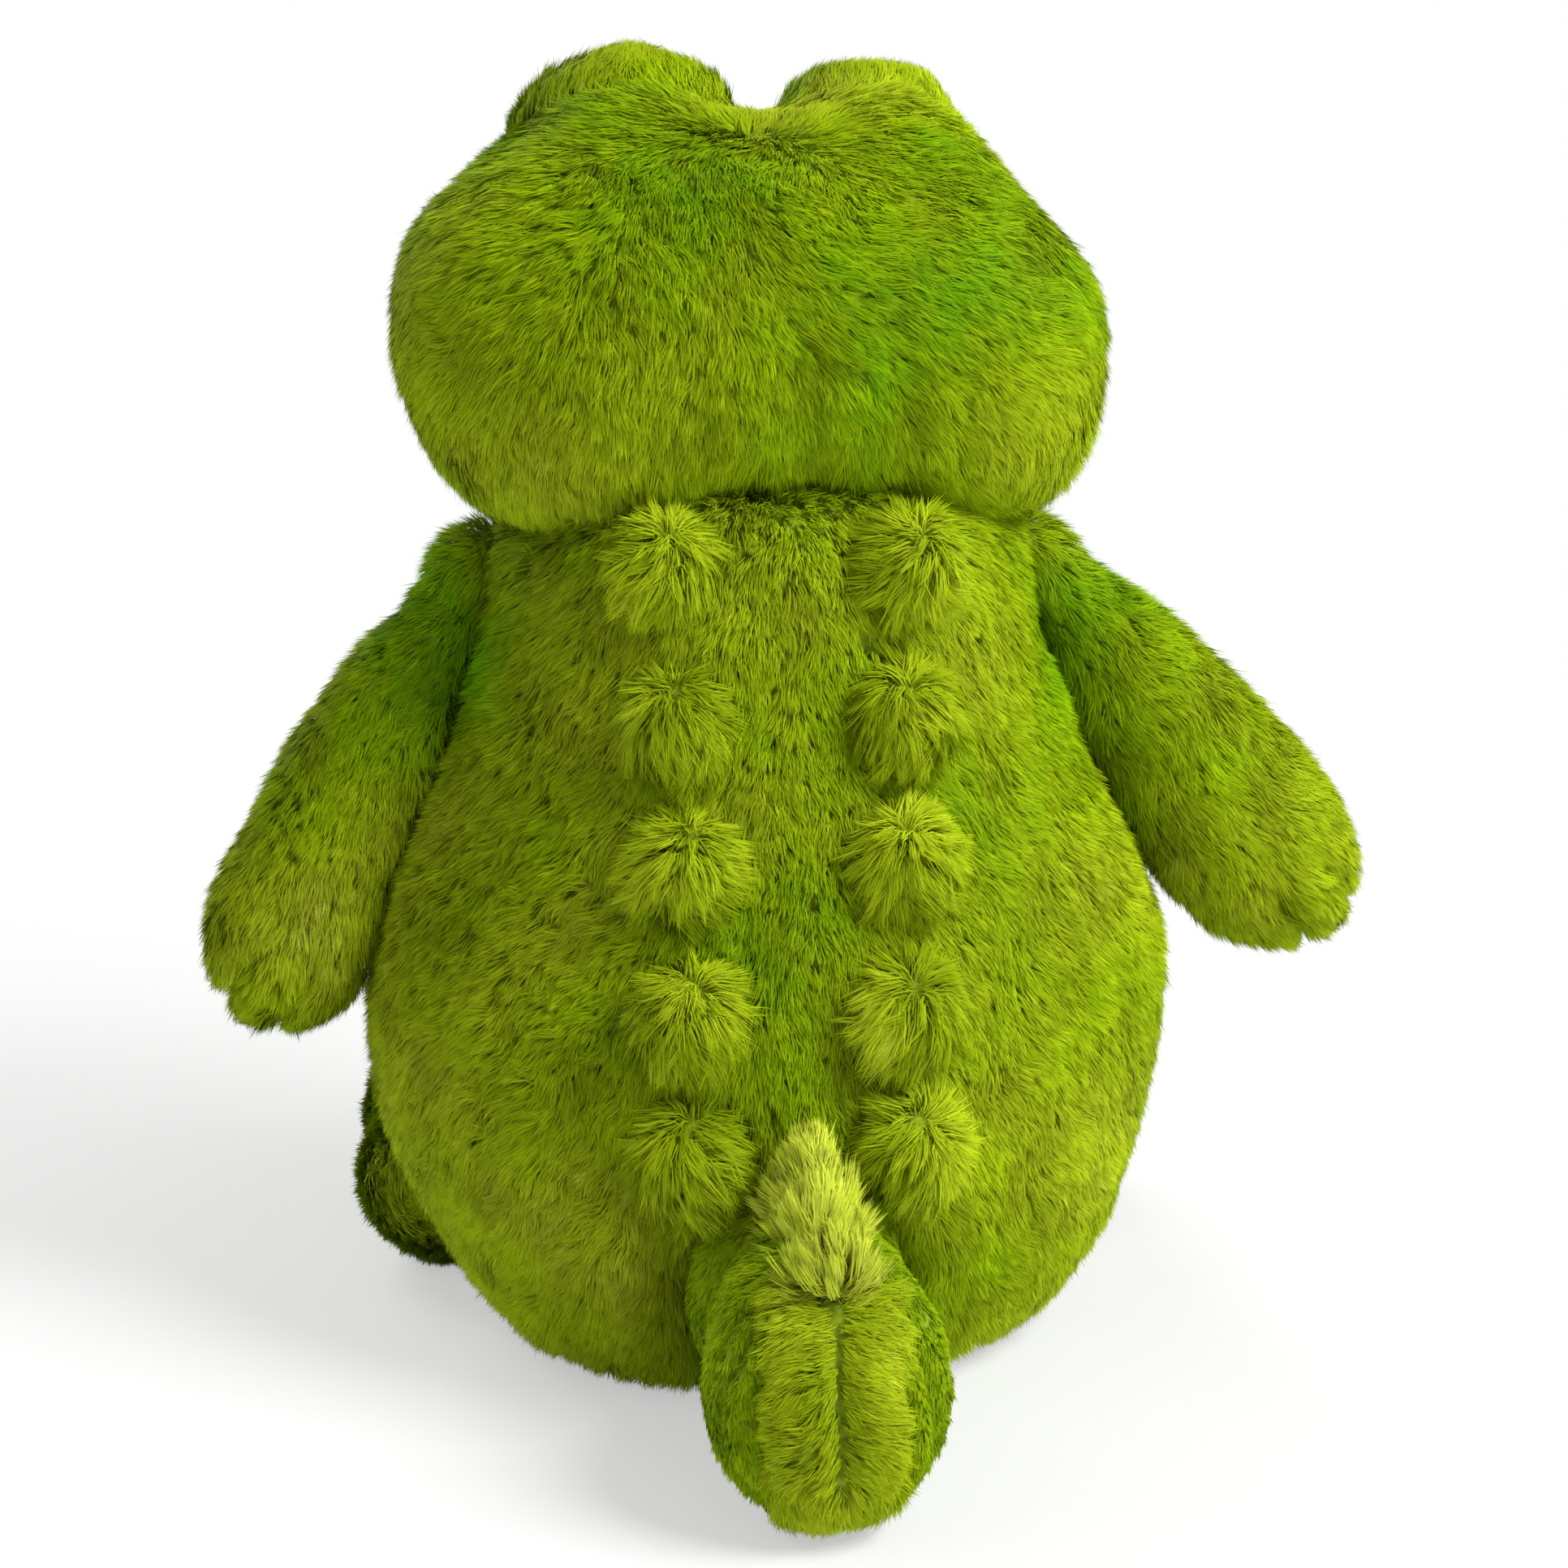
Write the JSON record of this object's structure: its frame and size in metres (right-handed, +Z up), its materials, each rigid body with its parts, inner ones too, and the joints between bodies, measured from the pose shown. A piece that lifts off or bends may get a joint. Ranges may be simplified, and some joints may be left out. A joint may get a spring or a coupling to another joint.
{
  "type": "plush crocodile",
  "caption": "Sitting plush crocodile with a pear-shaped body, wide head with raised eye domes, hanging arms, short legs, soft back spikes and a stubby tail.",
  "frame": {"origin": "middle of the flat seat that the toy sits on", "axes": "+Z up through the head, -Y is where the toy faces, +Y along the tail, +X towards the toy's left arm"},
  "size_m": [0.3559, 0.3202, 0.386],
  "materials": {
    "green_plush": "matte",
    "tuft_plush": "matte",
    "belly_plush": "matte",
    "polyester_fibre": "matte",
    "pouch_cloth": "matte",
    "eye_plastic": "gloss",
    "washer_plastic": "satin"
  },
  "bodies": {
    "trunk": {"trunk_cover": "green_plush", "trunk_stuffing": "polyester_fibre", "pellet_pouch": "pouch_cloth", "belly_panel": "belly_plush", "back_spike_left_1": "tuft_plush", "back_spike_left_2": "tuft_plush", "back_spike_left_3": "tuft_plush", "back_spike_left_4": "tuft_plush", "back_spike_left_5": "tuft_plush", "back_spike_right_1": "tuft_plush", "back_spike_right_2": "tuft_plush", "back_spike_right_3": "tuft_plush", "back_spike_right_4": "tuft_plush", "back_spike_right_5": "tuft_plush"},
    "head": {"head_cover": "green_plush", "head_stuffing": "polyester_fibre", "snout_cover": "green_plush", "snout_stuffing": "polyester_fibre", "left_eye_dome": "green_plush", "left_eye_dome_stuffing": "polyester_fibre", "left_eye": "eye_plastic", "left_eye_washer": "washer_plastic", "left_nostril": "green_plush", "right_eye_dome": "green_plush", "right_eye_dome_stuffing": "polyester_fibre", "right_eye": "eye_plastic", "right_eye_washer": "washer_plastic", "right_nostril": "green_plush"},
    "left_arm": {"left_arm_cover": "green_plush", "left_arm_stuffing": "polyester_fibre"},
    "right_arm": {"right_arm_cover": "green_plush", "right_arm_stuffing": "polyester_fibre"},
    "left_leg": {"left_leg_cover": "green_plush", "left_leg_stuffing": "polyester_fibre"},
    "right_leg": {"right_leg_cover": "green_plush", "right_leg_stuffing": "polyester_fibre"},
    "tail": {"tail_cover": "green_plush", "tail_stuffing": "polyester_fibre", "tail_crest_1": "tuft_plush", "tail_crest_2": "tuft_plush", "tail_crest_3": "tuft_plush"}
  },
  "joints": [
    {"name": "neck_turn", "type": "hinge", "parent": "trunk", "child": "head", "pos_m": [0, 0, 0.254], "axis": [0, -0.2419, 0.9703], "range_deg": [-30, 30], "stiffness_Nm_per_rad": 0.4},
    {"name": "left_shoulder", "type": "hinge", "parent": "trunk", "child": "left_arm", "pos_m": [0.08979, -0.006, 0.22871], "axis": [-0.9343, 0, -0.3566], "range_deg": [-30, 70]},
    {"name": "right_shoulder", "type": "hinge", "parent": "trunk", "child": "right_arm", "pos_m": [-0.08979, -0.006, 0.22871], "axis": [-0.9343, 0, 0.3566], "range_deg": [-30, 70]},
    {"name": "left_hip", "type": "hinge", "parent": "trunk", "child": "left_leg", "pos_m": [0.086, -0.05986, 0.03], "axis": [-1, 0, 0], "range_deg": [0, 20]},
    {"name": "right_hip", "type": "hinge", "parent": "trunk", "child": "right_leg", "pos_m": [-0.086, -0.05986, 0.03], "axis": [-1, 0, 0], "range_deg": [0, 20]},
    {"name": "tail_wag", "type": "hinge", "parent": "trunk", "child": "tail", "pos_m": [0, 0.08846, 0.03972], "axis": [0, 0, 1], "range_deg": [-20, 20], "stiffness_Nm_per_rad": 0.15}
  ]
}
